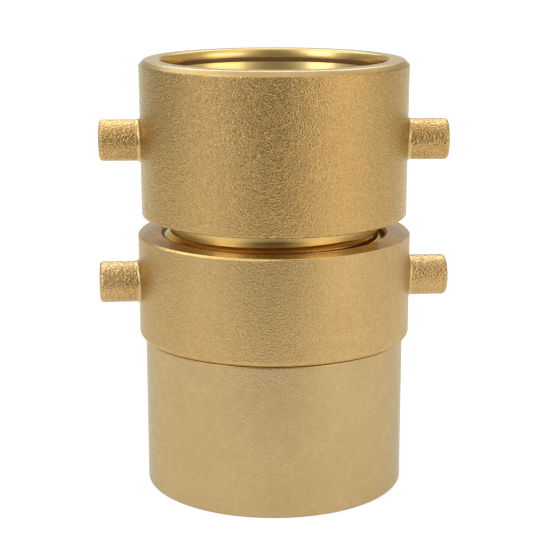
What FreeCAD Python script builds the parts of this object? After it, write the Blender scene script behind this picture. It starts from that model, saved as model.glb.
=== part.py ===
import FreeCAD, Part
import os
from FreeCAD import Vector

os.makedirs("parts", exist_ok=True)

# A fire hose coupling pair for 65 mm hose, made up hand tight. The axis is Z. The female half stands
# on its hose bowl at z = 0, and the male half is screwed down into its swivel ring.

# Hose bowls, alike in both halves
bowl_bore_r = 35.9
bowl_depth = 40.0
mouth_lip = 1.0
groove_start = 4.2
groove_width = 4.2
groove_depth = 0.7
waterway_r = 31.75

# Male half
male_bowl_wall = 7.2
male_bowl_length = 50.0
male_top_chamfer = 1.6
male_bottom_break = 0.5
nipple_length = 25.4
nipple_wall = 3.45
pilot_length = 6.35
pilot_drop = 1.3
relief_length = 5.0
relief_drop = 1.15

# Female tail
tail_bowl_wall = 6.5
tail_bowl_length = 49.35
neck_step = 4.4

# Swivel ring
ring_wall = 4.7
ring_length = 34.0
ring_top_break = 0.6
ring_bottom_break = 1.5
ring_end_gap = 0.35
neck_clearance = 0.1
seat_depth = 23.8
gasket_room = 4.8
mouth_chamfer = 1.7

# Screw thread, 8 turns to the inch, right hand. Its ridges are left off: each wall is plain at the
# middle of the thread's depth, and the clearance keeps the two apart.
thread_clearance = 0.1

# Rubber gasket that the nipple presses on. It lies on the neck's end, inside the swivel ring.
gasket_thickness = 4.1
gasket_end_clearance = 0.3
gasket_bore_step = 0.2
gasket_rim_clearance = 0.4

# Pin lugs, two opposite ones on each half
lug_r = 6.7
lug_root_blend = 0.9
lug_root_depth = 2.2
lug_end_break = 0.8
male_lug_reach = 13.8
male_lug_height = 23.9
male_lug_angle = 2.0
ring_lug_reach = 13.0
ring_lug_height = 17.9
ring_lug_angle = 6.0

# Split retaining ring of the swivel. It springs open into the ring's shallow groove, and the
# neck's groove is deep enough to hold it closed while the ring is slid on.
retainer_height = 4.2
retainer_thickness = 2.4
retainer_width = 3.2
retainer_gap_angle = 16.0
retainer_end_play = 0.1
retainer_rim_clearance = 0.1
ring_groove_depth = 1.3
neck_groove_spare = 0.2

# Radii that follow from the values above
male_bowl_r = bowl_bore_r + male_bowl_wall
tail_bowl_r = bowl_bore_r + tail_bowl_wall
thread_middle_r = waterway_r + nipple_wall
thread_bore_r = thread_middle_r + thread_clearance
pilot_r = thread_middle_r - pilot_drop
relief_r = thread_middle_r - relief_drop
mouth_r = thread_bore_r + mouth_chamfer
neck_r = thread_middle_r + neck_step
ring_bore_r = neck_r + neck_clearance
ring_r = ring_bore_r + ring_wall
ring_groove_r = ring_bore_r + ring_groove_depth
neck_groove_r = neck_r - retainer_width - neck_groove_spare

# Heights that follow from the values above
ring_bottom_z = tail_bowl_length + ring_end_gap
ring_top_z = ring_bottom_z + ring_length
seat_z = ring_top_z - seat_depth
nipple_end_z = seat_z + gasket_thickness + gasket_end_clearance
shoulder_z = nipple_end_z + nipple_length
male_top_z = shoulder_z + male_bowl_length
groove_low_z = ring_bottom_z + retainer_height
groove_high_z = groove_low_z + retainer_thickness + 2 * retainer_end_play

AXIS = Vector(0, 0, 1)
ORIGIN = Vector(0, 0, 0)


def revolve_outline(points, angle=360):
    """Turn a closed outline of (radius, height) points about Z."""
    corners = [Vector(r, 0, z) for r, z in points]
    face = Part.Face(Part.makePolygon(corners + corners[:1]))
    return face.revolve(ORIGIN, AXIS, angle)


def bowl_wall(mouth_z, inward):
    """Inside of a hose bowl, from its lipped mouth to the waterway, with its sloping grip groove."""
    groove_end = groove_start + groove_width
    groove_r = bowl_bore_r + groove_depth
    wall = [(bowl_bore_r + mouth_lip, 0), (bowl_bore_r, mouth_lip), (bowl_bore_r, groove_start),
            (groove_r, groove_start), (bowl_bore_r, groove_end), (bowl_bore_r, bowl_depth),
            (waterway_r, bowl_depth)]
    return [(r, mouth_z + inward * depth) for r, depth in wall]


def add_lugs(body, wall_r, reach, centre_z, angle):
    """Fuse two opposite pin lugs to a wall, with broken end edges and a coned root."""
    tip = wall_r + reach
    root_top = wall_r + lug_root_blend
    root_foot = root_top - lug_root_depth
    outline = [(root_foot, 0), (root_foot, lug_r + lug_root_depth), (root_top, lug_r),
               (tip - lug_end_break, lug_r), (tip, lug_r - lug_end_break), (tip, 0)]
    corners = [Vector(x, 0, centre_z + r) for x, r in outline]
    face = Part.Face(Part.makePolygon(corners + corners[:1]))
    lug = face.revolve(Vector(0, 0, centre_z), Vector(1, 0, 0), 360)
    for turn in (angle, angle + 180):
        body = body.fuse(lug.rotated(ORIGIN, AXIS, turn))
    return body


def male_body():
    """Hose bowl, pin lugs, shoulder and nipple, one forging."""
    pilot_top_z = nipple_end_z + pilot_length
    thread_top_z = shoulder_z - relief_length
    outline = [(waterway_r, nipple_end_z), (pilot_r, nipple_end_z), (pilot_r, pilot_top_z),
               (thread_middle_r, pilot_top_z), (thread_middle_r, thread_top_z), (relief_r, thread_top_z),
               (relief_r, shoulder_z), (male_bowl_r - male_bottom_break, shoulder_z),
               (male_bowl_r, shoulder_z + male_bottom_break), (male_bowl_r, male_top_z - male_top_chamfer),
               (male_bowl_r - male_top_chamfer, male_top_z)]
    body = revolve_outline(outline + bowl_wall(male_top_z, -1))
    return add_lugs(body, male_bowl_r, male_lug_reach, shoulder_z + male_lug_height, male_lug_angle)


def swivel_ring():
    """Collar with pin lugs: the thread above, and below it the grooved bore that turns on the neck."""
    bore_top_z = seat_z + gasket_room
    outline = [(ring_bore_r, ring_bottom_z), (ring_bore_r, groove_low_z), (ring_groove_r, groove_low_z),
               (ring_groove_r, groove_high_z), (ring_bore_r, groove_high_z), (ring_bore_r, bore_top_z),
               (thread_bore_r, bore_top_z),
               (thread_bore_r, ring_top_z - mouth_chamfer), (mouth_r, ring_top_z),
               (ring_r - ring_top_break, ring_top_z), (ring_r, ring_top_z - ring_top_break),
               (ring_r, ring_bottom_z + ring_bottom_break), (ring_r - ring_bottom_break, ring_bottom_z)]
    body = revolve_outline(outline)
    return add_lugs(body, ring_r, ring_lug_reach, ring_bottom_z + ring_lug_height, ring_lug_angle)


def female_tail():
    """Hose bowl with the grooved neck that the swivel ring turns on."""
    outline = [(waterway_r, seat_z), (neck_r, seat_z), (neck_r, groove_high_z),
               (neck_groove_r, groove_high_z), (neck_groove_r, groove_low_z), (neck_r, groove_low_z),
               (neck_r, tail_bowl_length), (tail_bowl_r, tail_bowl_length), (tail_bowl_r, 0)]
    return revolve_outline(outline + bowl_wall(0, 1))


def retaining_ring():
    """Flat split ring, sprung open, half in each groove."""
    outer_r = ring_groove_r - retainer_rim_clearance
    low_z = groove_low_z + retainer_end_play
    high_z = low_z + retainer_thickness
    inner_r = outer_r - retainer_width
    ring = revolve_outline([(inner_r, low_z), (outer_r, low_z), (outer_r, high_z), (inner_r, high_z)],
                           360 - retainer_gap_angle)
    ring.rotate(ORIGIN, AXIS, 90 + retainer_gap_angle / 2)
    return ring


def thread_gasket():
    """Flat rubber washer round the waterway."""
    inner_r = waterway_r + gasket_bore_step
    outer_r = ring_bore_r - gasket_rim_clearance
    top_z = seat_z + gasket_thickness
    return revolve_outline([(inner_r, seat_z), (outer_r, seat_z), (outer_r, top_z), (inner_r, top_z)])


pieces = {
    "male_body": male_body(),
    "swivel_ring": swivel_ring(),
    "female_tail": female_tail(),
    "retaining_ring": retaining_ring(),
    "thread_gasket": thread_gasket(),
}

for name, shape in pieces.items():
    shape.exportStep("parts/" + name + ".step")
    state = "valid" if shape.isValid() else "NOT VALID"
    print(name, state, len(shape.Solids), "solid", round(shape.Volume), "mm3")
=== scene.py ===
"""Finish for a pin lug fire hose coupling: turned bodies with lugs, threads, brass and a stage."""

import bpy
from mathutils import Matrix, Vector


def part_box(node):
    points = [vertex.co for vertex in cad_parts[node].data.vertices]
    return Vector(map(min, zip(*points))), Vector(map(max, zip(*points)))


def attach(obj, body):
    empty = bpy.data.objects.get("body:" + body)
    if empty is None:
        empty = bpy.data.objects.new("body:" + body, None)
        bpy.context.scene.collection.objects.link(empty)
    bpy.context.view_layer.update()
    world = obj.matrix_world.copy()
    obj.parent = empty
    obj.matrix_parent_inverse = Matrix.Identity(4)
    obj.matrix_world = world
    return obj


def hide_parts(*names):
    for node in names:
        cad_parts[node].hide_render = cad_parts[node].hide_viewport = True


bl_info = {
    "name": "Pin lug hose coupling",
    "version": (1, 0, 0),
    "blender": (4, 5, 0),
    "location": "3D View > Sidebar > Coupling",
    "description": "Builds the brass halves of a fire hose coupling round its packed model",
    "category": "Mesh",
}

from math import atan2, cos, pi, radians, sin, sqrt, tan

import bmesh
import bpy
from bpy.props import FloatProperty, FloatVectorProperty, PointerProperty
from bpy.types import Operator, Panel, PropertyGroup
from mathutils import Vector

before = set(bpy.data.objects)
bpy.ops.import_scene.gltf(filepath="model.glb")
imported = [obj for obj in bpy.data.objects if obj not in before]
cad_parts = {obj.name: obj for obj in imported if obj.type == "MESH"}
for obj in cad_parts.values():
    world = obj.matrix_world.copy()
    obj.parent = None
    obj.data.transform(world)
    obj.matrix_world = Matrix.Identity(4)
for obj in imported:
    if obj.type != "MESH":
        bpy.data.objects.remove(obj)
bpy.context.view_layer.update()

MM = 0.001
TURN = 2 * pi
FINISHES = ("wall", "turned", "polished", "thread", "dull_shaded", "lug")

# Columns of points round a turned body, and the part of a wall that a lug takes
COLUMNS = 256
LUG_HALF_COLUMNS = 10
LUG_ROWS = 20

# Rows that hold the shading beside a corner, and steps between other rows
CORNER, WALL_EDGE, FACE_ROW = 0.3 * MM, 0.4 * MM, 1.0 * MM
SHOULDER_ROW, BORE_END = 1.2 * MM, 1.5 * MM
WALL_STEP, THREAD_STEP, BORE_STEP, WATERWAY_STEP = 3 * MM, 4 * MM, 6 * MM, 8 * MM

# Steps of rounds, and how many rows of the ring's and the tail's low rounds aren't wall
ROUND_STEPS, SMALL_STEPS, NECK_STEPS, RING_STEPS = 6, 4, 5, 10
# The ring's low round rows are bright brass, partly painted light in the shaded crease under the
# ring
# The tail's foot rows are painted shade where the foot meets the floor
RING_POLISH_AND_LIGHT_ROWS, FOOT_SHADE_ROWS = 6, 4

# Small rounds and breaks, and heights over the nipple's end
NIPPLE_BREAK, NECK_ROUND, WATERWAY_ROUND = 0.4 * MM, 0.5 * MM, 0.6 * MM
PILOT_END, THREAD_START, THREAD_END, NECK_START = 6.2 * MM, 6.5 * MM, 20.3 * MM, 21.4 * MM

# Hose bowl's lip, and its grip groove's slope as shares of the groove's width and depth
LIP_STEPS = 8
GROOVE_EDGE = 0.1 * MM
GROOVE_SLOPE = ((0.0, 1.0), (0.12, 0.84), (0.35, 0.53), (0.6, 0.24), (0.8, 0.08), (1.0, 0.0))

# Turned edges on forged walls: how far they waver, the waves as (count, start, size), and the
# shares of it at a wall's last two rows and at the chamfer above
WAVER = 0.16 * MM
EDGE_WAVES = ((3, 0.3, 0.28), (8, 1.7, 0.24), (17, 4.1, 0.2), (31, 2.2, 0.16), (53, 5.3, 0.12))
MALE_WAVERS = (0.4, 0.8, 0.9, 1.0)
RING_WAVERS = (0.2, 0.35, 0.4)

# Where the ring's top chamfer nearly runs out: half its reach, the fade at its ends, the share left
NARROW_SPREAD, NARROW_FADE, NARROW_LEAST = radians(50), radians(14), 0.2

# Edge wear: the reach within which an outline's bend counts, and the bend that counts in full
EDGE_REACH, EDGE_BEND = 0.3 * MM, radians(50)

# Rings of points of a lug, as shares of the way over the wall, along the side and over the end
LUG_FOOT_SHARES = (0.35, 0.7, 1.0)
LUG_SIDE_SHARES = (0.06, 0.25, 0.5, 0.75, 0.95)
LUG_FACE_SHARES = (0.92, 0.7, 0.45, 0.2)
LUG_ROUND_STEPS = 6
LUG_WORN_STEP, LUG_END_EDGE = 2, 0.75

# Direction of the first corner of a lug's opening, and the weight of a quarter round's corner
LUG_CORNER_WAY, ROUND_WEIGHT = -135, sqrt(0.5)

# Least bend of a sharp edge, and how close two points of a thread are to be one
SHARP, THREAD_SHARP, MERGE = radians(35), radians(30), 1e-7

# Screw threads: flank angle, how far the ridge sinks into its wall, how many turns lower the female
# thread starts, and the turns over which the ends run out
FLANK, RIDGE_SEAT, FEMALE_DROP, STEPS_PER_TURN = radians(30), 0.48, 1.5, 96.0
SHORT_RUN_OUT, LONG_RUN_OUT, LEAST_RIDGE = 0.03, 0.08, 0.02

# Brass: tints laid over it as (factor, warmth), with the shares of edge wear and of dark edge
# marks, and tints at a low angle
DARK_SPECK, LIGHT_SPECK, SPECK_MIDDLE = (0.62, 1.08), (1.3, 0.97), 0.75
# The dark edge marks stand for a burred edge and paint the shade beside it
WORN, DULL_AND_SHADED, WORN_SHARE, DULL_AND_SHADED_SHARE, WORN_GLOSS = (1.16, 0.97), (0.45, 1.2), 0.6, 0.7, -0.3
PLAIN_RIM, TURNED_RIM = (0.84, 0.86, 0.78), (0.98, 0.95, 0.92)
BRIGHT_RIM, DULL_SHADED_RIM = (0.76, 0.66, 0.46), (0.5, 0.39, 0.24)

# Sizes of patches and worn spots, the threads' lathe rings as (spacing, depth) and roughness, and
# how much lighter or darker than their own colour the lugs and the plain finishes are
TONE_PATCH, PLAIN_PATCH, WEAR_SPOT = 22 * MM, 12 * MM, 1.1 * MM
THREAD_TURNING, THREAD_ROUGHNESS = (0.2 * MM, 0.006 * MM), 0.18
LUG_LIGHT, PLAIN_LIGHT, PLAIN_DARK = 1.04, 1.15, 0.85

# Patterns of the finishes: scales beside a pattern's own size, shares in a sum, the ranges that
# are spread out, and how far the roughness goes under and over its middle
DENT_SOFTNESS, DENT_SHARE, ROUGH_SCALE, UNEVEN_SCALE, UNEVEN_SHARE = 0.25, 0.6, 1.25, 0.2, 0.2
SPECK_SCALE, CLOUD_SCALE, CLOUD_SHARE, PATCH_RANGE = 1.3, 7.0, 0.5, (0.36, 0.64)
RING_TWIST, BAND_SCALE, BAND_RANGE = 1.3, 0.17, (0.3, 0.7)
MARK_SCALE, BRIGHT_RANGE, DULL_AND_SHADED_RANGE = 1.7, (0.38, 0.62), (0.56, 0.66)
BLASTED_SPREAD, TURNED_SPREAD, PLAIN_SPREAD = 0.1, 0.15, 0.15

# Levels of the room's light by direction, in degrees to the right of the camera as the coupling
# sees it, the level that a curve's full height stands for, the elevations between which each gives
# way to the next, and the tints with the ranges of direction in which they change
CURVE_TOP = 3.0
ROOM_LOW = (
    (-180, 1.0), (-150, 0.95), (-135, 0.7), (-120, 0.3), (-100, 0.12), (-80, 0.32), (-58, 0.58),
    (-38, 0.5), (-20, 0.16), (0, 0.05), (20, 0.23), (38, 0.75), (60, 1.18), (85, 0.75), (110, 0.55),
    (135, 0.85), (180, 1.0))
ROOM_HIGH = (
    (-180, 0.45), (-150, 0.5), (-120, 0.5), (-95, 0.45), (-75, 0.75), (-55, 0.95), (-38, 0.95),
    (-20, 0.42), (0, 0.29), (20, 0.5), (38, 1.05), (70, 0.95), (90, 0.6), (120, 0.5), (150, 0.5),
    (180, 0.45))
ROOM_UPPER = (
    (-180, 0.9), (-150, 1.3), (-120, 1.5), (-95, 1.5), (-75, 1.8), (-55, 1.9), (-38, 1.3),
    (-20, 0.5), (0, 0.3), (20, 0.5), (38, 1.2), (55, 1.3), (75, 1.0), (95, 0.7), (120, 0.85),
    (150, 0.85), (180, 0.9))
ROOM_TOP = 1.0
ROOM_RISES = ((-2, 16), (24, 40), (56, 70))
LEFT_TINT, RIGHT_TINT, TOP_TINT = (0.95, 1.01, 1.08, 1), (1.03, 1.0, 0.9, 1), (1.02, 0.99, 0.96, 1)
TINT_SIDES, TINT_RISE = (-0.6, 0.6), (0.6, 0.9)

# Floor and softboxes
FLOOR_GLOW, FLOOR_GREY, FLOOR_BACK = 0.82, (0.24, 0.24, 0.24, 1), 3.0
LAMP_TARGET = (0, 0, 0.09)
SENSOR_WIDTH = 36.0


def number(label, value, about, low=0.0):
    """A plain number property."""
    return FloatProperty(name=label, description=about, default=value, min=low)


def length(label, millimetres, about):
    """A size property, given in millimetres."""
    return FloatProperty(name=label, description=about, default=millimetres * MM, min=0.0,
                         precision=5, unit="LENGTH", subtype="DISTANCE")


def height(label, metres, about):
    """A height above the floor, given in metres."""
    return FloatProperty(name=label, description=about, default=metres, precision=5, unit="LENGTH",
                         subtype="DISTANCE")


def degrees(label, value, about):
    """An angle property, given in degrees."""
    return FloatProperty(name=label, description=about, default=radians(value),
                         unit="ROTATION", subtype="ANGLE")


def colour(label, rgb, about):
    """A colour property, given as linear red, green and blue."""
    return FloatVectorProperty(name=label, description=about, default=rgb, min=0.0, max=1.0,
                               size=3, subtype="COLOR")


class BowlSizes(PropertyGroup):
    """Inside of the hose bowls, alike in both halves"""

    bore: length("Bore radius", 35.9, "Radius of the hose bowl's bore")
    mouth: length("Mouth radius", 37.0, "Radius where the lip's round meets the rim")
    lip: length("Lip depth", 2.9, "How far the lip's round reaches into the bowl")
    depth: length("Depth", 40.0, "Depth of the hose bowl")
    groove_start: length("Groove start", 4.2, "Depth where the sloping grip groove starts")
    groove_width: length("Groove width", 4.2, "Width of the grip groove")
    groove_depth: length("Groove depth", 0.7, "Depth of the grip groove at its upper edge")
    floor_round: length("Floor round", 1.2, "Round between the bowl's wall and its floor")
    waterway: length("Waterway radius", 31.75, "Radius of the waterway between the bowls")


class MaleSizes(PropertyGroup):
    """Sizes of the male half"""

    top: height("Top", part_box("male_body")[1].z, "Height of the bowl's rim")
    nipple_end: height("Nipple end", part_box("male_body")[0].z, "Height of the nipple's end")
    shoulder: height("Shoulder", 0.0897, "Height of the shoulder over the gap")
    wall_top: length("Wall radius, top", 43.3, "Radius of the wall under the rim's chamfer")
    wall_bottom: length("Wall radius, bottom", 43.12, "Radius of the wall over the shoulder")
    rim_chamfer: length("Rim chamfer", 1.6, "Chamfer on the rim's outer edge")
    rim_ease: length("Rim chamfer's eased corners", 0.9, "Radius of the rim chamfer's corners")
    bottom_round: length("Bottom round", 0.55, "Round on the wall's lower edge")
    pilot: length("Pilot radius", 33.9, "Radius of the plain end of the nipple")
    root: length("Thread root radius", 34.05, "Radius of the neck and of the thread's root")
    lug_height: height("Lug height", 0.1136, "Height of the lugs' axis")
    lug_reach: length("Lug tip radius", 56.6, "Distance from the axis to the end of a lug")
    lug_turn: degrees("Lug direction", 2.0, "Direction of the first lug, round from +X")


class RingSizes(PropertyGroup):
    """Sizes of the swivel ring"""

    bottom: height("Bottom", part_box("swivel_ring")[0].z, "Height of the ring's lower face")
    top: height("Top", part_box("swivel_ring")[1].z, "Height of the ring's upper face")
    wall_top: length("Wall radius, top", 44.4, "Radius of the wall at its upper edge")
    wall_bottom: length("Wall radius, bottom", 44.38, "Radius of the wall at its lower edge")
    top_chamfer: length("Top chamfer", 0.6, "Chamfer on the upper edge")
    chamfer_end: degrees("Narrow chamfer", 312.0, "Direction where the top chamfer nearly ends")
    bottom_round: length("Bottom round", 1.7, "Round on the lower edge")
    mouth: length("Mouth radius", 37.0, "Radius where the entry chamfer meets the upper face")
    root: length("Thread root radius", 36.28, "Radius of the thread's root")
    thread_bottom: height("Thread bottom", 0.0647, "Height where the thread's bore ends")
    bore: length("Swivel bore", 39.7, "Radius of the bore that turns on the tail's neck")
    groove: length("Groove radius", 41.0, "Radius of the groove for the retaining ring")
    groove_low: height("Groove bottom", 0.0539, "Height of the groove's lower face")
    groove_high: height("Groove top", 0.0565, "Height of the groove's upper face")
    lug_height: height("Lug height", 0.0676, "Height of the lugs' axis")
    lug_reach: length("Lug tip radius", 57.4, "Distance from the axis to the end of a lug")
    lug_turn: degrees("Lug direction", 6.0, "Direction of the first lug, round from +X")


class TailSizes(PropertyGroup):
    """Sizes of the female tail"""

    top: height("Neck end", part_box("female_tail")[1].z, "Height of the neck's end")
    shoulder: height("Shoulder", 0.04935, "Height of the shoulder under the swivel ring")
    wall: length("Wall radius", 42.4, "Radius of the bowl's wall")
    foot_round: length("Foot round", 0.7, "Round on the wall's lower edge")
    shoulder_round: length("Shoulder round", 0.4, "Round on the wall's upper edge")
    neck: length("Neck radius", 39.6, "Radius of the neck that the swivel ring turns on")
    groove: length("Groove radius", 36.2, "Radius of the neck's groove")


class LugSizes(PropertyGroup):
    """Sizes that all four pin lugs share"""

    radius: length("Radius", 6.7, "Radius of a lug")
    root_round: length("Root round", 1.2, "Round between a lug and the wall")
    end_round: length("End round", 1.2, "Round on the end of a lug")
    dome: length("Dome", 0.25, "How far the end of a lug swells")


class ThreadSizes(PropertyGroup):
    """Sizes of the screw thread"""

    pitch: length("Pitch", 3.175, "Rise of the thread in one turn")
    male_crest: length("Male crest radius", 36.11, "Radius of the male thread's crest")
    female_crest: length("Female crest radius", 34.4, "Radius of the female thread's crest")
    male_flat: length("Male crest width", 0.4, "Width of the male thread's crest")
    female_flat: length("Female crest width", 0.5, "Width of the female thread's crest")
    male_top: height("Male thread end", 0.0843, "Height of the male thread's upper end")
    male_turns: number("Male turns", 4.1, "Turns of the male thread", 0.5)
    female_turns: number("Female turns", 4.9, "Turns of the female thread", 0.5)
    end_turn: degrees("End direction", -20.0, "Direction of the male thread's end, from +X")


class BrassColours(PropertyGroup):
    """Colours and grain of the finishes"""

    male: colour("Male half", (0.56, 0.355, 0.135), "Blasted brass of the male half")
    ring: colour("Swivel ring", (0.565, 0.373, 0.158), "Blasted brass of the swivel ring")
    tail: colour("Tail", (0.525, 0.367, 0.174), "Blasted brass of the female tail")
    turned: colour("Turned", (0.57, 0.4, 0.172), "Turned brass of the rims and chamfers")
    polished: colour("Polished", (0.73, 0.505, 0.192), "Bright brass of the necks and bores")
    # The bowls' dark brass is a duller finish whose dark colour paints the shade deep in the bowls
    # and at the tail's foot
    dull_shaded: colour("Dark brass", (0.245, 0.142, 0.06), "Dull brass of the bowls' bores")
    # The ring's entry colour is darkened to paint the shade in its thread bore
    entry: colour("Thread entry", (0.43, 0.28, 0.14), "Brass of the swivel ring's thread bore")
    steel: colour("Spring steel", (0.50, 0.50, 0.50), "Steel of the retaining ring")
    rubber: colour("Rubber", (0.012, 0.012, 0.013), "Rubber of the gasket")
    lug_grain: length("Grain, lugs", 0.3, "Depth of the blasted grain on the lugs")
    lug_dent: length("Dent size, lugs", 0.72, "Size of the dents of the lugs' grain")
    dent: length("Dent size", 0.52, "Size of the dents of the blasted grain")
    male_grain: length("Grain, male half", 0.18, "Depth of the male half's blasted grain")
    ring_grain: length("Grain, swivel ring", 0.12, "Depth of the swivel ring's blasted grain")
    tail_grain: length("Grain, tail", 0.075, "Depth of the tail's blasted grain")


class StageSizes(PropertyGroup):
    """Camera, floor and light"""

    eye_distance: height("Camera distance", 0.49189, "Distance from the camera to the axis")
    eye_height: height("Camera height", 0.18467, "Height of the camera over the floor")
    eye_drop: degrees("Camera pitch", 13.287, "How far the camera looks down")
    lens: number("Lens", 100.14, "Focal length in millimetres", 10.0)
    side_shift: FloatProperty(name="Side shift", description="Shift of the view to the right",
                              default=0.0017)
    floor_front: height("Floor front", -0.335, "Where the pale floor ends in front")
    floor_side: length("Floor side", 620, "How far the pale floor reaches to each side")
    room: number("Room light", 1.0, "Strength of the room's own light")
    left_lamp: number("Left softbox", 1.5, "Brightness of the left softbox")
    right_lamp: number("Right softbox", 1.0, "Brightness of the right softbox")
    back_lamp: number("Back softbox", 2.2, "Brightness of the softbox over the backdrop")
    lamp_distance: height("Softbox distance", 1.3, "Distance from the coupling to each softbox")


# Outlines

def arc(centre_r, centre_z, radius, start, end, steps):
    """Points of a round about (centre_r, centre_z), from one angle to another, in degrees."""
    turns = [radians(start + (end - start) * k / steps) for k in range(steps + 1)]
    return [(centre_r + radius * cos(a), centre_z + radius * sin(a)) for a in turns]


def run(finish, *points, waver=0.0):
    """Points of an outline with the finish of the surface that starts at each."""
    return [(r, z, finish, waver) for r, z in points]


def rows_between(low, high, step):
    """Even heights between two others, without the ends."""
    count = max(1, round(abs(high - low) / step))
    return [low + (high - low) * k / count for k in range(1, count)]


def rows_at(radius, low, high, step):
    """Points at even heights of a straight wall, without its ends."""
    return [(radius, z) for z in rows_between(low, high, step)]


def add_wall(points, sizes, bottom, top, wavers):
    """Adds a wall, with close even rows beside the lugs, and gives the number of the first."""
    step = TURN / COLUMNS * sizes.wall_bottom
    half = LUG_ROWS / 2 * step
    low, high = sizes.lug_height - half, sizes.lug_height + half
    heights = [bottom, bottom + WALL_EDGE] + rows_between(bottom + WALL_EDGE, low, WALL_STEP)
    first_row = len(points) + len(heights)
    heights += [low + step * k for k in range(LUG_ROWS + 1)]
    heights += rows_between(high, top - WALL_EDGE, WALL_STEP) + [top - WALL_EDGE]
    taper = sizes.wall_top - sizes.wall_bottom
    wall = [(sizes.wall_bottom + taper * (z - bottom) / (top - bottom), z) for z in heights]
    points += run("wall", *wall[:-2])
    points += run("wall", wall[-2], waver=wavers[0]) + run("wall", wall[-1], waver=wavers[1])
    return first_row


def bowl_outline(bowl, mouth_z, inward):
    """Inside of a hose bowl from its rim to the waterway, down from the rim or up from the foot."""
    lip_r = bowl.mouth - bowl.bore
    lip = [(bowl.bore + lip_r * (1 - sin(a)), bowl.lip * (1 - cos(a)))
           for a in (radians(90 * k / LIP_STEPS) for k in range(LIP_STEPS + 1))]
    groove = [(bowl.bore + deep * bowl.groove_depth, bowl.groove_start + along * bowl.groove_width)
              for along, deep in GROOVE_SLOPE]
    wall = rows_at(bowl.bore, bowl.groove_start + bowl.groove_width, bowl.depth - BORE_END,
                   BORE_STEP)
    floor = arc(bowl.bore - bowl.floor_round, bowl.depth - bowl.floor_round, bowl.floor_round,
                0, 90, ROUND_STEPS)
    edge = arc(bowl.waterway + WATERWAY_ROUND, bowl.depth + WATERWAY_ROUND, WATERWAY_ROUND,
               270, 180, SMALL_STEPS)
    points = run("polished", *lip[:-1])
    # The bore between the lip and the grip groove, and the bore below it, take the dark brass: a
    # duller finish with painted shade
    points += run("dull_shaded", lip[-1], (bowl.bore, bowl.groove_start - GROOVE_EDGE),
                  (bowl.bore + GROOVE_EDGE, bowl.groove_start))
    points += run("polished", *groove) + run("dull_shaded", *wall, *floor, *edge)
    return [(r, mouth_z + inward * depth, finish, waver) for r, depth, finish, waver in points]


def eased_chamfer(radius, z, size, ease):
    """The two eased corners of an outer chamfer, from the wall up to the face."""
    reach = ease * tan(radians(22.5))
    return (arc(radius - ease, z - size - reach, ease, 0, 45, SMALL_STEPS),
            arc(radius - size - reach, z - ease, ease, 45, 90, SMALL_STEPS))


def male_outline(male, bowl):
    """Section of the male half, up its outside and down its inside, and its first lug row."""
    end, inside_end = male.nipple_end, male.nipple_end + CORNER
    points = run("turned", (bowl.waterway + NIPPLE_BREAK, end), (male.pilot - NIPPLE_BREAK, end))
    points += run("thread", (male.pilot, end + NIPPLE_BREAK), (male.pilot, end + PILOT_END),
                  (male.root, end + THREAD_START))
    points += run("polished", (male.root, end + THREAD_END), (male.root, end + NECK_START),
                  *arc(male.root + NECK_ROUND, male.shoulder - NECK_ROUND, NECK_ROUND,
                       180, 90, NECK_STEPS))
    points += run("turned", (male.root + SHOULDER_ROW, male.shoulder))
    bottom = male.shoulder + male.bottom_round
    points += run("wall", *arc(male.wall_bottom - male.bottom_round, bottom, male.bottom_round,
                               270, 360, ROUND_STEPS)[:-1])
    lower, upper = eased_chamfer(male.wall_top, male.top, male.rim_chamfer, male.rim_ease)
    first_row = add_wall(points, male, bottom, lower[0][1], MALE_WAVERS)
    points += run("wall", *lower[:3], waver=MALE_WAVERS[2])
    points += run("turned", *lower[3:], waver=MALE_WAVERS[3])
    points += run("turned", *upper, (bowl.mouth + CORNER, male.top))
    points += bowl_outline(bowl, male.top, -1)
    points += run("polished", *rows_at(bowl.waterway, male.top - bowl.depth - WATERWAY_ROUND,
                                       inside_end, WATERWAY_STEP))
    return points + run("turned", (bowl.waterway, inside_end)), first_row


def ring_outline(ring):
    """Section of the swivel ring, up its outside and down its inside, its first lug row and the
    row of its top chamfer."""
    points = run("turned", (ring.bore + CORNER, ring.bottom), (ring.bore + FACE_ROW, ring.bottom),
                 (ring.wall_bottom - ring.bottom_round - WALL_EDGE, ring.bottom))
    bottom, chamfer_z = ring.bottom + ring.bottom_round, ring.top - ring.top_chamfer
    low_round = arc(ring.wall_bottom - ring.bottom_round, bottom, ring.bottom_round,
                    270, 360, RING_STEPS)
    # The round's lower rows take bright brass: a turned edge, and painted light that lifts the
    # shade in the crease under the ring
    points += run("polished", *low_round[:RING_POLISH_AND_LIGHT_ROWS])
    points += run("wall", *low_round[RING_POLISH_AND_LIGHT_ROWS:-1])
    first_row = add_wall(points, ring, bottom, chamfer_z, RING_WAVERS)
    chamfer_row = len(points)
    points += run("polished", (ring.wall_top, chamfer_z), waver=RING_WAVERS[2])
    edge = ring.wall_top - ring.top_chamfer
    points += run("turned", (edge, ring.top), (edge - CORNER, ring.top),
                  (ring.mouth + CORNER, ring.top))
    entry_z = ring.top - (ring.mouth - ring.root)
    # The entry chamfer and the thread's root wall take the dark brass, a painted shade in the
    # ring's bore
    points += run("dull_shaded", (ring.mouth, ring.top), (ring.root, entry_z),
                  (ring.root, entry_z - CORNER),
                  *rows_at(ring.root, ring.top - BORE_END, ring.thread_bottom, THREAD_STEP))
    points += run("turned", (ring.root, ring.thread_bottom), (ring.bore, ring.thread_bottom),
                  (ring.bore, ring.groove_high), (ring.groove, ring.groove_high),
                  (ring.groove, ring.groove_low), (ring.bore, ring.groove_low),
                  (ring.bore, ring.bottom + CORNER))
    return points, first_row, chamfer_row


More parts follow.
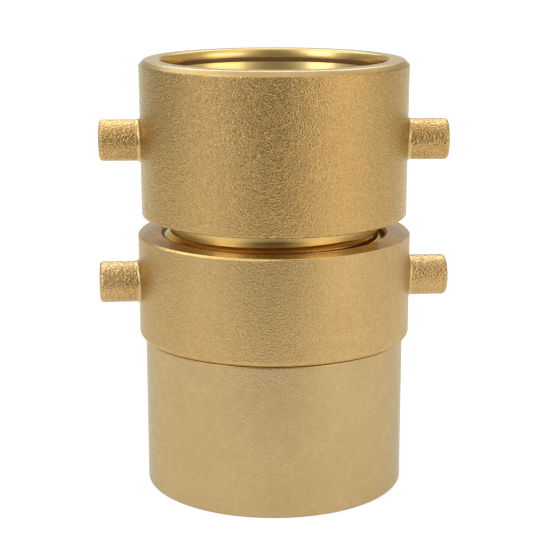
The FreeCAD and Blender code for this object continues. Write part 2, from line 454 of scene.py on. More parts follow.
def tail_outline(tail, ring, bowl):
    """Section of the female tail, up its outside and down its inside."""
    foot = arc(tail.wall - tail.foot_round, tail.foot_round, tail.foot_round, 270, 360, ROUND_STEPS)
    top = tail.shoulder - tail.shoulder_round
    low, high = tail.foot_round + WALL_EDGE, top - WALL_EDGE
    points = run("turned", (bowl.mouth + CORNER, 0), (tail.wall - tail.foot_round - CORNER, 0))
    # The foot round's lower rows take the dark brass, a painted shade where the foot meets the
    # floor
    points += run("dull_shaded", *foot[:FOOT_SHADE_ROWS])
    points += run("wall", *foot[FOOT_SHADE_ROWS:], (tail.wall, low),
                  *rows_at(tail.wall, low, high, WALL_STEP), (tail.wall, high))
    points += run("turned",
                  *arc(tail.wall - tail.shoulder_round, top, tail.shoulder_round,
                       0, 90, SMALL_STEPS),
                  (tail.neck + CORNER, tail.shoulder), (tail.neck, tail.shoulder + CORNER),
                  (tail.neck, ring.groove_low), (tail.groove, ring.groove_low),
                  (tail.groove, ring.groove_high), (tail.neck, ring.groove_high),
                  (tail.neck, tail.top - CORNER), (tail.neck - CORNER, tail.top),
                  (bowl.waterway + CORNER, tail.top))
    points += run("polished", (bowl.waterway, tail.top - CORNER),
                  *rows_at(bowl.waterway, tail.top, bowl.depth + WATERWAY_ROUND, BORE_STEP))
    return points + bowl_outline(bowl, 0, 1)[::-1]


# Meshes

def radius_point(radius, angle, z):
    return (radius * cos(angle), radius * sin(angle), z)


def edge_waver(angle):
    """Unevenness of a turned edge on a forged wall, from -1 to 1."""
    return sum(size * sin(count * angle + start) for count, start, size in EDGE_WAVES)


def edge_values(outline):
    """How sharply an outline bends outwards close to each of its points, from 0 to 1."""
    spots = [Vector((r, z)) for r, z, _, _ in outline]
    count = len(spots)
    values = []
    for k, spot in enumerate(spots):
        before, after = k - 1, k + 1
        while (spots[before % count] - spot).length < EDGE_REACH:
            before -= 1
        while (spots[after % count] - spot).length < EDGE_REACH:
            after += 1
        into, onward = spot - spots[before % count], spots[after % count] - spot
        bend = atan2(into.x * onward.y - into.y * onward.x, into.dot(onward))
        values.append(min(max(bend / EDGE_BEND, 0.0), 1.0))
    return values


def lug_rings(border, on_wall, lugs, tip):
    """Rings of (out, across, up) points from an opening's border to a lug's end, each with the
    finish that leads to it and its edge wear."""
    count = len(border)
    ways = [radians(LUG_CORNER_WAY + 360 * m / count) for m in range(count)]
    foot = lugs.radius + lugs.root_round

    def circle(radius, x):
        return [(x, radius * cos(a), radius * sin(a)) for a in ways]

    rings = []
    for share in LUG_FOOT_SHARES:
        spots = [(y + share * (foot * cos(a) - y), z + share * (foot * sin(a) - z))
                 for (y, z), a in zip(border, ways)]
        rings.append(([(on_wall(y, z), y, z) for y, z in spots], "wall", 0.0))
    feet = [on_wall(foot * cos(a), foot * sin(a)) for a in ways]
    for k in range(1, LUG_ROUND_STEPS + 1):
        u = k / LUG_ROUND_STEPS
        b0, b1, b2 = (1 - u) ** 2, 2 * u * (1 - u) * ROUND_WEIGHT, u * u
        r = (b0 * foot + (b1 + b2) * lugs.radius) / (b0 + b1 + b2)
        root = []
        for a, wall_x in zip(ways, feet):
            corner_x = wall_x + foot * cos(a) ** 2 / wall_x * lugs.root_round
            x = b0 * wall_x + b1 * corner_x + b2 * (corner_x + lugs.root_round)
            root.append((x / (b0 + b1 + b2), r * cos(a), r * sin(a)))
        # The root round takes turned brass: a smoother skin, and a lighter colour that paints the
        # highlight along the root
        rings.append((root, "turned", 0.0))
    side_end = tip - lugs.dome - lugs.end_round
    for share in LUG_SIDE_SHARES:
        rings.append(([(x + share * (side_end - x), y, z) for x, y, z in root], "lug", 0.0))
    for k in range(LUG_ROUND_STEPS + 1):
        a_end = radians(90 * k / LUG_ROUND_STEPS)
        ring = circle(lugs.radius - lugs.end_round * (1 - cos(a_end)),
                      side_end + lugs.end_round * sin(a_end))
        rings.append((ring, "lug", LUG_END_EDGE if k >= LUG_WORN_STEP else 0.0))
    face_r = lugs.radius - lugs.end_round
    for share in LUG_FACE_SHARES:
        rings.append((circle(face_r * share, tip - lugs.dome * share ** 2), "lug", 0.0))
    return rings


class TurnedMesh:
    """Points and faces of a turned body, with the lugs that stand on its wall."""

    def __init__(self, outline, first_angle=0.0):
        self.points, self.faces, self.finishes = [], [], []
        self.outline, self.first_angle = outline, first_angle
        self.left_open, self.edges = set(), []
        for (radius, z, _, waver), edge in zip(outline, edge_values(outline)):
            self.edges += [edge] * COLUMNS
            for column in range(COLUMNS):
                angle = self.angle(column)
                lift = WAVER * waver * edge_waver(angle)
                self.points.append(radius_point(radius + lift, angle, z - lift))

    def angle(self, column):
        return self.first_angle + TURN * column / COLUMNS

    def at(self, row, column):
        """Number of a point of the turned surface."""
        return row * COLUMNS + column % COLUMNS

    def narrow_chamfer(self, row, size, middle):
        """Narrows the chamfer that starts at a row, round one direction."""
        for column in range(COLUMNS):
            angle = self.angle(column)
            away = abs((angle - middle + pi) % TURN - pi)
            share = min(max((NARROW_SPREAD - away) / NARROW_FADE, 0.0), 1.0)
            cut = size * (1 - NARROW_LEAST) * share * share * (3 - 2 * share)
            low, high = self.at(row, column), self.at(row + 1, column)
            x, y, z = self.points[low]
            self.points[low] = (x, y, z + cut)
            self.points[high] = radius_point(self.outline[row + 1][0] + cut, angle,
                                             self.outline[row + 1][1])

    def add_face(self, corners, finish):
        self.faces.append(corners)
        self.finishes.append(FINISHES.index(finish))

    def open_wall(self, low, left):
        """Leaves out the faces that a lug replaces and gives the border of the opening."""
        high, right = low + LUG_ROWS, left + 2 * LUG_HALF_COLUMNS
        self.left_open |= {self.at(r, c) for r in range(low, high) for c in range(left, right)}
        return ([self.at(low, c) for c in range(left, right)]
                + [self.at(r, right) for r in range(low, high)]
                + [self.at(high, c) for c in range(right, left, -1)]
                + [self.at(r, left) for r in range(high, low, -1)])

    def add_lug(self, first_row, centre_column, wall_radius, lugs, tip, centre_z):
        """Fills an opening in the wall with a lug, its root round and the wall round it."""
        border = self.open_wall(first_row, centre_column - LUG_HALF_COLUMNS)
        turn = self.angle(centre_column)
        out = Vector((cos(turn), sin(turn), 0))
        across = Vector((-sin(turn), cos(turn), 0))
        flat = [(Vector(self.points[p]).dot(across), self.points[p][2] - centre_z) for p in border]

        def on_wall(y, z):
            return sqrt(wall_radius(centre_z + z) ** 2 - y * y)

        previous = border
        for ring, finish, edge in lug_rings(flat, on_wall, lugs, tip):
            numbers = []
            for x, y, z in ring:
                spot = out * x + across * y
                numbers.append(len(self.points))
                self.points.append((spot.x, spot.y, centre_z + z))
                self.edges.append(edge)
            self.join(previous, numbers, finish)
            previous = numbers
        centre = out * tip
        middle = len(self.points)
        self.points.append((centre.x, centre.y, centre_z))
        self.edges.append(0.0)
        for corner, following in zip(previous, previous[1:] + previous[:1]):
            self.add_face((corner, following, middle), "wall")

    def join(self, outer, inner, finish):
        """Quads between two rings of points."""
        for corners in zip(outer, outer[1:] + outer[:1], inner[1:] + inner[:1], inner):
            self.add_face(corners, finish)

    def make(self, name, materials):
        """The finished object."""
        for row, (_, _, finish, _) in enumerate(self.outline):
            above = (row + 1) % len(self.outline)
            for column in range(COLUMNS):
                if self.at(row, column) not in self.left_open:
                    self.add_face((self.at(row, column), self.at(row, column + 1),
                                   self.at(above, column + 1), self.at(above, column)), finish)
        mesh = bpy.data.meshes.new(name)
        mesh.from_pydata(self.points, [], self.faces)
        for material in materials:
            mesh.materials.append(material)
        mesh.polygons.foreach_set("material_index", self.finishes)
        mesh.attributes.new("edge", "FLOAT", "POINT").data.foreach_set("value", self.edges)
        shell = bmesh.new()
        shell.from_mesh(mesh)
        loose = [v for v in shell.verts if not v.link_faces]
        bmesh.ops.delete(shell, geom=loose, context="VERTS")
        shell.to_mesh(mesh)
        shell.free()
        return finished_object(name, mesh)


def lugged_body(outline, first_row, sizes, lugs, low, high):
    """A turned body with two opposite lugs on its wall, which tapers from low to high."""
    body = TurnedMesh(outline, sizes.lug_turn)

    def wall_radius(z):
        taper = sizes.wall_top - sizes.wall_bottom
        return sizes.wall_bottom + taper * (z - low) / (high - low)

    for column in (0, COLUMNS // 2):
        body.add_lug(first_row, column, wall_radius, lugs, sizes.lug_reach, sizes.lug_height)
    return body


def finished_object(name, mesh, sharp=SHARP):
    """An object at the origin, smooth but for its sharp edges."""
    mesh.shade_smooth()
    mesh.set_sharp_from_angle(angle=sharp)
    piece = bpy.data.objects.new(name, mesh)
    bpy.context.scene.collection.objects.link(piece)
    return piece


def outward(mesh):
    """Turns every face of a closed mesh outwards."""
    shell = bmesh.new()
    shell.from_mesh(mesh)
    bmesh.ops.remove_doubles(shell, verts=shell.verts, dist=MERGE)
    bmesh.ops.recalc_face_normals(shell, faces=shell.faces)
    shell.to_mesh(mesh)
    shell.free()


# Nodes

SOCKET_KINDS = {"Position": "Vector", "Tone": "Color", "Second tone": "Color", "Colour": "Color",
                "Material": "Material", "Geometry": "Geometry"}


def feed(tree, socket, value):
    """Links a node's output to a socket, or writes a plain value into it."""
    if isinstance(value, bpy.types.NodeSocket):
        tree.links.new(value, socket)
    else:
        socket.default_value = value


def new_tree(name, kind, inputs, outputs):
    """A node tree with named sockets, numbers but for those in SOCKET_KINDS: the tree, what it is
    given and what it gives."""
    tree = bpy.data.node_groups.new(name, kind)
    for way, labels in (("INPUT", inputs), ("OUTPUT", outputs)):
        for label in labels:
            tree.interface.new_socket(name=label, in_out=way,
                                      socket_type="NodeSocket" + SOCKET_KINDS.get(label, "Float"))
    return tree, tree.nodes.new("NodeGroupInput").outputs, tree.nodes.new("NodeGroupOutput").inputs


def put(tree, kind, **values):
    """Outputs of a new node, whose settings are given in lower case and whose inputs start with a
    capital, with _ for each space."""
    node = tree.nodes.new(kind)
    for name, value in values.items():
        if name[0].islower():
            setattr(node, name, value)
        else:
            feed(tree, node.inputs[name.replace("_", " ")], value)
    return node.outputs


def maths(tree, operation, *values):
    """A Math node's result."""
    node = tree.nodes.new("ShaderNodeMath")
    node.operation = operation
    for socket, value in zip(node.inputs, values):
        feed(tree, socket, value)
    return node.outputs[0]


def noise(tree, position, scale, detail=2.0):
    return put(tree, "ShaderNodeTexNoise", Vector=position, Scale=scale, Detail=detail)[0]


def smooth_step(tree, value, low, high, start=0.0, end=1.0):
    """A value eased from start to end while it goes from low to high."""
    return put(tree, "ShaderNodeMapRange", interpolation_type="SMOOTHSTEP", Value=value,
               From_Min=low, From_Max=high, To_Min=start, To_Max=end)[0]


def blend_colour(tree, share, first, second):
    """One colour laid over another, by the numbers of the Mix node's colour sockets."""
    node = tree.nodes.new("ShaderNodeMix")
    node.data_type = "RGBA"
    for place, value in ((0, share), (6, first), (7, second)):
        feed(tree, node.inputs[place], value)
    return node.outputs[2]


# Screw threads

def thread_tree():
    """Geometry nodes that sweep a ridge along a helix and let its ends run out."""
    tree, given, gives = new_tree(
        "Screw thread ridge", "GeometryNodeTree",
        ("Root radius", "Ridge height", "Inner width", "Outer width", "Pitch", "Turns",
         "Start height", "Start angle", "Start run-out", "End run-out", "Steps per turn",
         "Material"), ("Geometry",))
    turned = maths(tree, "MULTIPLY", put(tree, "GeometryNodeSplineParameter")[0], given["Turns"])
    angle = maths(tree, "MULTIPLY_ADD", turned, TURN, given["Start angle"])
    x, y = (maths(tree, "MULTIPLY", maths(tree, way, angle), given["Root radius"])
            for way in ("COSINE", "SINE"))
    z = maths(tree, "MULTIPLY_ADD", turned, given["Pitch"], given["Start height"])
    place = put(tree, "ShaderNodeCombineXYZ", X=x, Y=y, Z=z)[0]
    points = maths(tree, "MULTIPLY", given["Turns"], given["Steps per turn"])
    line = put(tree, "GeometryNodeResampleCurve", Count=points,
               Curve=put(tree, "GeometryNodeCurvePrimitiveLine")[0])[0]
    helix = put(tree, "GeometryNodeSetPosition", Geometry=line, Position=place)[0]
    level = put(tree, "GeometryNodeSetCurveNormal", mode="Z_UP", Curve=helix)[0]
    from_start = maths(tree, "DIVIDE", turned, given["Start run-out"])
    from_end = maths(tree, "DIVIDE", maths(tree, "SUBTRACT", given["Turns"], turned),
                     given["End run-out"])
    nearer = maths(tree, "MINIMUM", maths(tree, "MINIMUM", from_start, from_end), 1.0)
    section = put(tree, "GeometryNodeCurvePrimitiveQuadrilateral", mode="TRAPEZOID",
                  Height=maths(tree, "ABSOLUTE", given["Ridge height"]), Offset=0.0,
                  Bottom_Width=given["Inner width"], Top_Width=given["Outer width"])[0]
    lift = maths(tree, "MULTIPLY", given["Ridge height"], RIDGE_SEAT)
    seat = put(tree, "GeometryNodeTransform", Geometry=section, Rotation=(0, 0, -TURN / 4),
               Translation=put(tree, "ShaderNodeCombineXYZ", X=lift)[0])[0]
    sweep = put(tree, "GeometryNodeCurveToMesh", Curve=level, Profile_Curve=seat, Fill_Caps=True,
                Scale=maths(tree, "MAXIMUM", nearer, LEAST_RIDGE))[0]
    real = put(tree, "GeometryNodeRealizeInstances", Geometry=sweep)[0]
    finish = put(tree, "GeometryNodeSetMaterial", Geometry=real, Material=given["Material"])[0]
    feed(tree, gives["Geometry"], finish)
    return tree


def node_mesh(name, tree, values):
    """Runs a geometry tree on an empty mesh and returns the plain mesh that comes out."""
    holder = bpy.data.objects.new(name + "_nodes", bpy.data.meshes.new(name + "_nodes"))
    bpy.context.scene.collection.objects.link(holder)
    modifier = holder.modifiers.new("nodes", "NODES")
    modifier.node_group = tree
    for item in tree.interface.items_tree:
        if item.in_out == "INPUT" and item.name in values:
            modifier[item.identifier] = values[item.name]
    bpy.context.view_layer.update()
    shown = holder.evaluated_get(bpy.context.evaluated_depsgraph_get())
    mesh = bpy.data.meshes.new_from_object(shown)
    mesh.name = name
    bpy.data.objects.remove(holder)
    return mesh


# Finishes

def shader_group(name, inputs, outputs):
    """A shader group on the place on its piece: its tree, what it is given, what it gives and the
    scale that its first further input asks for."""
    tree, given, gives = new_tree(name, "ShaderNodeTree", ("Position", *inputs), outputs)
    return tree, given, gives, maths(tree, "DIVIDE", 1.0, given[inputs[0]])


def grain_group(name):
    """Height of a blasted forging: round dents on a rough, slightly uneven skin, and a value for
    each small spot."""
    tree, given, gives, scale = shader_group(name, ("Dent size",), ("Height", "Speckle"))
    position = given["Position"]
    dents = put(tree, "ShaderNodeTexVoronoi", feature="SMOOTH_F1", Vector=position, Scale=scale,
                Smoothness=DENT_SOFTNESS)["Distance"]
    rough = noise(tree, position, maths(tree, "MULTIPLY", scale, ROUGH_SCALE), detail=3.0)
    uneven = noise(tree, position, maths(tree, "MULTIPLY", scale, UNEVEN_SCALE))
    skin = maths(tree, "MULTIPLY_ADD", dents, DENT_SHARE, rough)
    feed(tree, gives["Height"], maths(tree, "MULTIPLY_ADD", uneven, UNEVEN_SHARE, skin))
    cells = put(tree, "ShaderNodeTexVoronoi", feature="F1", Vector=position,
                Scale=maths(tree, "MULTIPLY", scale, SPECK_SCALE))["Color"]
    feed(tree, gives["Speckle"], put(tree, "ShaderNodeSeparateColor", Color=cells)[0])
    return tree


def tone_group(name):
    """Colour that drifts between two tones in large soft patches, with finer clouds in them."""
    tree, given, gives, scale = shader_group(name, ("Patch size", "Tone", "Second tone"),
                                             ("Colour", "Patches"))
    large = noise(tree, given["Position"], scale)
    fine = noise(tree, given["Position"], maths(tree, "MULTIPLY", scale, CLOUD_SCALE))
    mixed = maths(tree, "MULTIPLY_ADD", fine, CLOUD_SHARE,
                  maths(tree, "MULTIPLY", large, 1 - CLOUD_SHARE))
    patches = smooth_step(tree, mixed, *PATCH_RANGE)
    feed(tree, gives["Colour"], blend_colour(tree, patches, given["Tone"], given["Second tone"]))
    feed(tree, gives["Patches"], patches)
    return tree


def turning_group(name):
    """Height of the fine rings that a lathe leaves, by distance from the axis and height."""
    tree, given, gives, scale = shader_group(name, ("Spacing",), ("Height", "Bands"))
    x, y, z = put(tree, "ShaderNodeSeparateXYZ", Vector=given["Position"])
    radius = maths(tree, "SQRT", maths(tree, "ADD", maths(tree, "MULTIPLY", x, x),
                                       maths(tree, "MULTIPLY", y, y)))
    turn = maths(tree, "MULTIPLY", maths(tree, "ARCTAN2", y, x), RING_TWIST)
    across = put(tree, "ShaderNodeCombineXYZ", X=maths(tree, "MULTIPLY", radius, scale),
                 Y=maths(tree, "MULTIPLY", z, scale), Z=turn)[0]
    feed(tree, gives["Height"], noise(tree, across, 1.0, detail=3.0))
    wide = put(tree, "ShaderNodeVectorMath", operation="SCALE", Vector=across, Scale=BAND_SCALE)[0]
    feed(tree, gives["Bands"], noise(tree, wide, 1.0, detail=1.0))
    return tree


def wear_group(name):
    """Broken bright spots of wear, and dark marks of a burr with painted shade beside it, along
    edges, from how near the surface is to an edge.
    """
    tree, given, gives, scale = shader_group(name, ("Spot size", "Edge"), ("Bright", "Dull and shaded"))
    spots = noise(tree, given["Position"], scale)
    marks = noise(tree, given["Position"], maths(tree, "MULTIPLY", scale, MARK_SCALE),
                  detail=1.0)
    for label, pattern, ends in (("Bright", spots, BRIGHT_RANGE), ("Dull and shaded", marks, DULL_AND_SHADED_RANGE)):
        near = maths(tree, "MULTIPLY", given["Edge"], pattern)
        feed(tree, gives[label], smooth_step(tree, near, *ends))
    return tree


SHADER_GROUPS = {"Brass tone": tone_group, "Blasted grain": grain_group,
                 "Lathe rings": turning_group, "Edge wear": wear_group}


def use_group(tree, name, **inputs):
    """Outputs of a shader group, which is built once and used by every finish."""
    group = bpy.data.node_groups.get(name) or SHADER_GROUPS[name](name)
    return put(tree, "ShaderNodeGroup", node_tree=group, **inputs)


def shaded(tint, factor, warmth=1.0):
    """A tint made lighter or darker and a little warmer."""
    return (tint[0] * factor, tint[1] * factor / warmth, tint[2] * factor / warmth ** 2, 1.0)


def new_material(name, metallic):
    """A material with its tree, its Principled shader's inputs and the place on its piece."""
    material = bpy.data.materials.new(name)
    material.use_nodes = True
    tree = material.node_tree
    inputs = tree.nodes["Principled BSDF"].inputs
    inputs["Metallic"].default_value = metallic
    return material, tree, inputs, put(tree, "ShaderNodeTexCoord")["Object"]


def varied(tree, value, low, high, middle, share):
    """A roughness that goes a share under and over its middle while a value goes up."""
    return smooth_step(tree, value, low, high, middle * (1 - share), middle * (1 + share))


def brass(name, tint, roughness, grain=(0.7 * MM, 0.0), turning=(0.25 * MM, 0.0), drift=0.02,
          speckle=0.0, rim=PLAIN_RIM, metallic=1.0):
    """Brass with blasted grain and lathe rings, each given as its size and depth."""
    material, tree, inputs, position = new_material(name, metallic)
    inputs["Specular Tint"].default_value = (*rim, 1)
    edge = put(tree, "ShaderNodeAttribute", attribute_name="edge")["Fac"]
    tone = use_group(tree, "Brass tone", Position=position, Patch_size=TONE_PATCH,
                     Tone=shaded(tint, 1 + drift, 1 - drift / 2),
                     Second_tone=shaded(tint, 1 - drift, 1 + drift / 2))
    dents = use_group(tree, "Blasted grain", Position=position, Dent_size=grain[0])
    rings = use_group(tree, "Lathe rings", Position=position, Spacing=turning[0])
    wear = use_group(tree, "Edge wear", Position=position, Edge=edge, Spot_size=WEAR_SPOT)
    # Edge wear, and dark marks that paint a burr's shade along the edges
    layers = [(maths(tree, "MULTIPLY", wear["Bright"], WORN_SHARE), WORN),
              (maths(tree, "MULTIPLY", wear["Dull and shaded"], DULL_AND_SHADED_SHARE), DULL_AND_SHADED)]
    if speckle:
        layers = [(smooth_step(tree, dents["Speckle"], SPECK_MIDDLE, end, 0.0, speckle), shade)
                  for end, shade in ((0.0, DARK_SPECK), (1.0, LIGHT_SPECK))] + layers
    base = tone["Colour"]
    for share, shade in layers:
        base = blend_colour(tree, share, base, shaded(tint, *shade))
    feed(tree, inputs["Base Color"], base)
    if grain[1]:
        rough = varied(tree, tone["Patches"], 0.0, 1.0, roughness, BLASTED_SPREAD)
    else:
        rough = varied(tree, rings["Bands"], *BAND_RANGE, roughness, TURNED_SPREAD)
    feed(tree, inputs["Roughness"],
         maths(tree, "MULTIPLY_ADD", wear["Bright"], WORN_GLOSS * roughness, rough))
    relief = {}
    for pattern, depth in ((dents["Height"], grain[1]), (rings["Height"], turning[1])):
        if depth:
            relief["Normal"] = put(tree, "ShaderNodeBump", Strength=1.0, Distance=depth,
                                   Height=pattern, **relief)[0]
    feed(tree, inputs["Normal"], relief["Normal"])
    return material


def finish_set(half):
    """The finishes of one half, in the order of FINISHES."""
    colours = bpy.context.scene.coupling_colours
    tint, depth, roughness, speckle, rim = {
        "male": (colours.male, colours.male_grain, 0.22, 0.3, (0.85, 0.9, 0.78)),
        "ring": (colours.ring, colours.ring_grain, 0.33, 0.3, (0.84, 0.88, 0.8)),
        "tail": (colours.tail, colours.tail_grain, 0.28, 0.15, (0.78, 0.82, 0.76))}[half]
    # The dark finish is duller brass whose colour paints the shade in the bowls, in the ring's
    # entry and at the tail's foot
    bore, bore_metal = (colours.entry, 0.85) if half == "ring" else (colours.dull_shaded, 0.5)
    return [
        brass(half + " blasted brass", tint, roughness, (colours.dent, depth), speckle=speckle,
              rim=rim),
        brass(half + " turned brass", colours.turned, roughness=0.27, grain=(0.5 * MM, 0.025 * MM),
              turning=(0.3 * MM, 0.015 * MM), drift=0.04, rim=TURNED_RIM),
        brass(half + " bright brass", colours.polished, roughness=0.25,
              turning=(0.18 * MM, 0.004 * MM), drift=0.03, rim=BRIGHT_RIM),
        brass(half + " threaded brass", colours.polished, THREAD_ROUGHNESS, turning=THREAD_TURNING,
              drift=0.03, rim=BRIGHT_RIM),
        brass(half + " bored brass", bore, roughness=0.32, turning=(0.25 * MM, 0.01 * MM),
              drift=0.05, rim=DULL_SHADED_RIM, metallic=bore_metal),
        brass(half + " lug brass", shaded(tint, LUG_LIGHT), roughness=0.18,
              grain=(colours.lug_dent, colours.lug_grain), speckle=0.3, rim=rim)]


def plain_finish(name, tint, metallic, roughness, size, depth):
    """Spring steel or rubber, with a fine uneven skin."""
    material, tree, inputs, position = new_material(name, metallic)
    tone = use_group(tree, "Brass tone", Position=position, Patch_size=PLAIN_PATCH,
                     Tone=shaded(tint, PLAIN_LIGHT), Second_tone=shaded(tint, PLAIN_DARK))
    skin = use_group(tree, "Blasted grain", Position=position, Dent_size=size)
    feed(tree, inputs["Base Color"], tone["Colour"])
    feed(tree, inputs["Roughness"],
         varied(tree, tone["Patches"], 0.0, 1.0, roughness, PLAIN_SPREAD))
    feed(tree, inputs["Normal"], put(tree, "ShaderNodeBump", Strength=1.0, Distance=depth,
                                     Height=skin["Height"])[0])
    return material


# Operators

class COUPLING_OT_male_half(Operator):
    """Builds the male half: hose bowl, pin lugs, shoulder and nipple"""

    bl_idname = "coupling.male_half"
    bl_label = "Male half"

    def execute(self, context):
        scene = context.scene
        male = scene.coupling_male
        outline, first_row = male_outline(male, scene.coupling_bowl)
        body = lugged_body(outline, first_row, male, scene.coupling_lugs,
                           male.shoulder + male.bottom_round, male.top - male.rim_chamfer)
        piece = body.make("male_half", finish_set("male"))
        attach(piece, "male")
        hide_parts("male_body")
        return {"FINISHED"}


class COUPLING_OT_swivel_ring(Operator):
    """Builds the swivel ring with its pin lugs"""

    bl_idname = "coupling.swivel_ring"
    bl_label = "Swivel ring"

    def execute(self, context):
        scene = context.scene
        ring = scene.coupling_ring
        outline, first_row, chamfer_row = ring_outline(ring)
        body = lugged_body(outline, first_row, ring, scene.coupling_lugs,
                           ring.bottom + ring.bottom_round, ring.top - ring.top_chamfer)
        body.narrow_chamfer(chamfer_row, ring.top_chamfer, ring.chamfer_end)
        piece = body.make("swivel_collar", finish_set("ring"))
        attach(piece, "swivel")
        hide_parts("swivel_ring")
        return {"FINISHED"}


class COUPLING_OT_female_tail(Operator):
    """Builds the female tail: hose bowl and the neck in the swivel ring"""

    bl_idname = "coupling.female_tail"
    bl_label = "Female tail"

    def execute(self, context):
        scene = context.scene
        body = TurnedMesh(tail_outline(scene.coupling_tail, scene.coupling_ring,
                                       scene.coupling_bowl))
        piece = body.make("tail_bowl", finish_set("tail"))
        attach(piece, "tail")
        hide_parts("female_tail")
        return {"FINISHED"}


class COUPLING_OT_threads(Operator):
    """Sweeps the ridges of the male and female screw threads"""

    bl_idname = "coupling.threads"
    bl_label = "Screw threads"

    def execute(self, context):
        scene = context.scene
        sizes, male, ring = scene.coupling_threads, scene.coupling_male, scene.coupling_ring
        tree = thread_tree()
        start_z = sizes.male_top - sizes.pitch * sizes.male_turns
        jobs = (("male_thread", "male", "male_brass", male.root, sizes.male_crest - male.root,
                 sizes.male_flat, sizes.male_turns, start_z, LONG_RUN_OUT),
                ("female_thread", "swivel", "ring_brass", ring.root, sizes.female_crest - ring.root,
                 sizes.female_flat, sizes.female_turns, start_z - sizes.pitch * FEMALE_DROP,
                 SHORT_RUN_OUT))
        for name, body, slot, root, depth, flat, turns, z, run_out in jobs:
            foot = flat + abs(depth) * 2 * tan(FLANK)
            inner, outer = (foot, flat) if depth > 0 else (flat, foot)
            material = brass(name + " brass", scene.coupling_colours.polished, THREAD_ROUGHNESS,
                             turning=THREAD_TURNING, drift=0.03)
            mesh = node_mesh(name, tree, {
                "Root radius": root, "Ridge height": depth, "Inner width": inner,
                "Outer width": outer, "Pitch": sizes.pitch, "Turns": turns, "Start height": z,
                "Start angle": sizes.end_turn - TURN * sizes.male_turns,
                "Start run-out": SHORT_RUN_OUT, "End run-out": run_out,
                "Steps per turn": STEPS_PER_TURN, "Material": material})
            outward(mesh)
            piece = finished_object(name, mesh, THREAD_SHARP)
            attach(piece, body)
        return {"FINISHED"}


class COUPLING_OT_inner_parts(Operator):
    """Gives the retaining ring and the gasket their finishes"""

    bl_idname = "coupling.inner_parts"
    bl_label = "Retaining ring and gasket"

    def execute(self, context):
        colours = context.scene.coupling_colours
        for node, tint, metallic, roughness, size, depth in (
                ("retaining_ring", colours.steel, 1.0, 0.35, 0.4 * MM, 0.01 * MM),
                ("thread_gasket", colours.rubber, 0.0, 0.7, 0.5 * MM, 0.05 * MM)):
            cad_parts[node].material_slots[0].material = plain_finish(
                node + " finish", tint, metallic, roughness, size, depth)
        return {"FINISHED"}


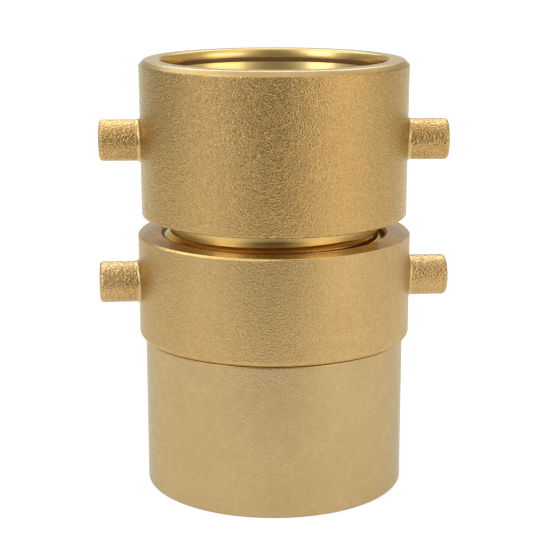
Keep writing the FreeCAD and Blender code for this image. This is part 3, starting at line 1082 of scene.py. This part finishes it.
class COUPLING_OT_stage(Operator):
    """Sets the camera, the floor and the light"""

    bl_idname = "coupling.stage"
    bl_label = "Camera, floor and light"

    def execute(self, context):
        scene = context.scene
        stage = scene.coupling_stage
        lens = bpy.data.cameras.new("camera")
        lens.lens, lens.sensor_width, lens.shift_x = stage.lens, SENSOR_WIDTH, stage.side_shift
        camera = bpy.data.objects.new("camera", lens)
        camera.location = (0, -stage.eye_distance, stage.eye_height)
        camera.rotation_euler = (radians(90) - stage.eye_drop, 0, 0)
        scene.collection.objects.link(camera)
        scene.camera = camera
        scene.view_settings.view_transform = "Standard"
        self.floor(scene, stage)
        self.softboxes(scene, stage)
        self.room(scene, stage)
        return {"FINISHED"}

    def floor(self, scene, stage):
        """A pale floor that glows white."""
        mesh = bpy.data.meshes.new("floor")
        side, front = stage.floor_side, stage.floor_front
        mesh.from_pydata([(-side, front, 0), (side, front, 0), (side, FLOOR_BACK, 0),
                          (-side, FLOOR_BACK, 0)], [], [(0, 1, 2, 3)])
        floor = bpy.data.objects.new("floor", mesh)
        scene.collection.objects.link(floor)
        material = bpy.data.materials.new("pale floor")
        material.use_nodes = True
        tree = material.node_tree
        tree.nodes.remove(tree.nodes["Principled BSDF"])
        both = tree.nodes.new("ShaderNodeAddShader")
        feed(tree, both.inputs[0], put(tree, "ShaderNodeBsdfDiffuse", Color=FLOOR_GREY)[0])
        feed(tree, both.inputs[1], put(tree, "ShaderNodeEmission", Strength=FLOOR_GLOW)[0])
        feed(tree, tree.nodes["Material Output"].inputs["Surface"], both.outputs[0])
        mesh.materials.append(material)

    def softboxes(self, scene, stage):
        """Softboxes above the coupling: two in front, left and right, and one behind."""
        for name, azimuth, elevation, wide, tall, level, tint in (
                ("left softbox", -52, 26, 0.65, 0.9, stage.left_lamp, (0.96, 1.0, 1.06)),
                ("right softbox", 55, 16, 0.9, 0.5, stage.right_lamp, (1.0, 0.98, 0.92)),
                ("back softbox", 180, 50, 1.4, 0.9, stage.back_lamp, (0.9, 1.0, 1.25))):
            lamp = bpy.data.lights.new(name, "AREA")
            lamp.shape, lamp.size, lamp.size_y = "RECTANGLE", wide, tall
            lamp.energy = level * wide * tall * pi
            lamp.color = tint
            softbox = bpy.data.objects.new(name, lamp)
            turn, rise = radians(azimuth), radians(elevation)
            way = Vector((sin(turn) * cos(rise), -cos(turn) * cos(rise), sin(rise)))
            softbox.location = Vector(LAMP_TARGET) + way * stage.lamp_distance
            softbox.rotation_euler = way.to_track_quat("Z", "Y").to_euler()
            scene.collection.objects.link(softbox)

    def room(self, scene, stage):
        """Light of the room by direction, dark round the camera, and white where it looks."""
        world = bpy.data.worlds.new("room")
        world.use_nodes = True
        scene.world = world
        tree = world.node_tree
        tree.nodes.clear()
        way = put(tree, "ShaderNodeTexCoord")["Generated"]
        x, y, z = put(tree, "ShaderNodeSeparateXYZ", Vector=way)
        turn = maths(tree, "ARCTAN2", x, maths(tree, "MULTIPLY", y, -1.0))
        along = maths(tree, "MULTIPLY_ADD", turn, 1 / TURN, 0.5)
        level, high, upper = (self.curve(tree, along, points)
                              for points in (ROOM_LOW, ROOM_HIGH, ROOM_UPPER))
        for (start, end), above in zip(ROOM_RISES, (high, upper, ROOM_TOP)):
            level = self.rise(tree, z, start, end, level, above)
        tint = blend_colour(tree, smooth_step(tree, x, *TINT_SIDES), LEFT_TINT, RIGHT_TINT)
        tint = blend_colour(tree, smooth_step(tree, z, *TINT_RISE), tint, TOP_TINT)
        strength = maths(tree, "MULTIPLY", level, stage.room)
        mix = tree.nodes.new("ShaderNodeMixShader")
        for socket, output in zip(mix.inputs, (
                put(tree, "ShaderNodeLightPath")["Is Camera Ray"],
                put(tree, "ShaderNodeBackground", Color=tint, Strength=strength)[0],
                put(tree, "ShaderNodeBackground", Color=(1, 1, 1, 1), Strength=1.0)[0])):
            feed(tree, socket, output)
        put(tree, "ShaderNodeOutputWorld", Surface=mix.outputs[0])

    def rise(self, tree, z, start, end, below, above):
        """Goes from one level to another between two elevations in degrees."""
        share = smooth_step(tree, z, sin(radians(start)), sin(radians(end)))
        return maths(tree, "MULTIPLY_ADD", share, maths(tree, "SUBTRACT", above, below), below)

    def curve(self, tree, along, points):
        """A level by direction, from (degrees to the right of the camera, level) points."""
        node = tree.nodes.new("ShaderNodeFloatCurve")
        feed(tree, node.inputs["Value"], along)
        line = node.mapping.curves[0]
        node.mapping.use_clip = False
        spots = [(angle / 360 + 0.5, level / CURVE_TOP) for angle, level in points]
        for spot, place in zip(line.points, (spots[0], spots[-1])):
            spot.location = place
        for place in spots[1:-1]:
            line.points.new(*place)
        node.mapping.update()
        return maths(tree, "MULTIPLY", node.outputs[0], CURVE_TOP)


class COUPLING_PT_sidebar(Panel):
    """Sizes, colours and build steps of the coupling"""

    bl_idname = "COUPLING_PT_sidebar"
    bl_label = "Hose coupling"
    bl_space_type = "VIEW_3D"
    bl_region_type = "UI"
    bl_category = "Coupling"

    def draw(self, context):
        for name, _, steps in GROUPS:
            box = self.layout.box()
            settings = getattr(context.scene, name)
            for key in settings.__annotations__:
                box.prop(settings, key)
            for step in steps:
                box.operator(step)


GROUPS = (
    ("coupling_bowl", BowlSizes, ()),
    ("coupling_male", MaleSizes, ("coupling.male_half",)),
    ("coupling_ring", RingSizes, ("coupling.swivel_ring",)),
    ("coupling_tail", TailSizes, ("coupling.female_tail",)),
    ("coupling_lugs", LugSizes, ()),
    ("coupling_threads", ThreadSizes, ("coupling.threads",)),
    ("coupling_colours", BrassColours, ("coupling.inner_parts",)),
    ("coupling_stage", StageSizes, ("coupling.stage",)),
)
OPERATORS = (COUPLING_OT_male_half, COUPLING_OT_swivel_ring, COUPLING_OT_female_tail,
             COUPLING_OT_threads, COUPLING_OT_inner_parts, COUPLING_OT_stage)


def register():
    for name, group, _ in GROUPS:
        bpy.utils.register_class(group)
        setattr(bpy.types.Scene, name, PointerProperty(type=group))
    for part in (*OPERATORS, COUPLING_PT_sidebar):
        bpy.utils.register_class(part)


def unregister():
    for part in (COUPLING_PT_sidebar, *reversed(OPERATORS)):
        bpy.utils.unregister_class(part)
    for name, group, _ in reversed(GROUPS):
        delattr(bpy.types.Scene, name)
        bpy.utils.unregister_class(group)


def main():
    register()
    bpy.ops.coupling.male_half()
    bpy.ops.coupling.swivel_ring()
    bpy.ops.coupling.female_tail()
    bpy.ops.coupling.threads()
    bpy.ops.coupling.inner_parts()
    bpy.ops.coupling.stage()


if __name__ == "__main__":
    main()
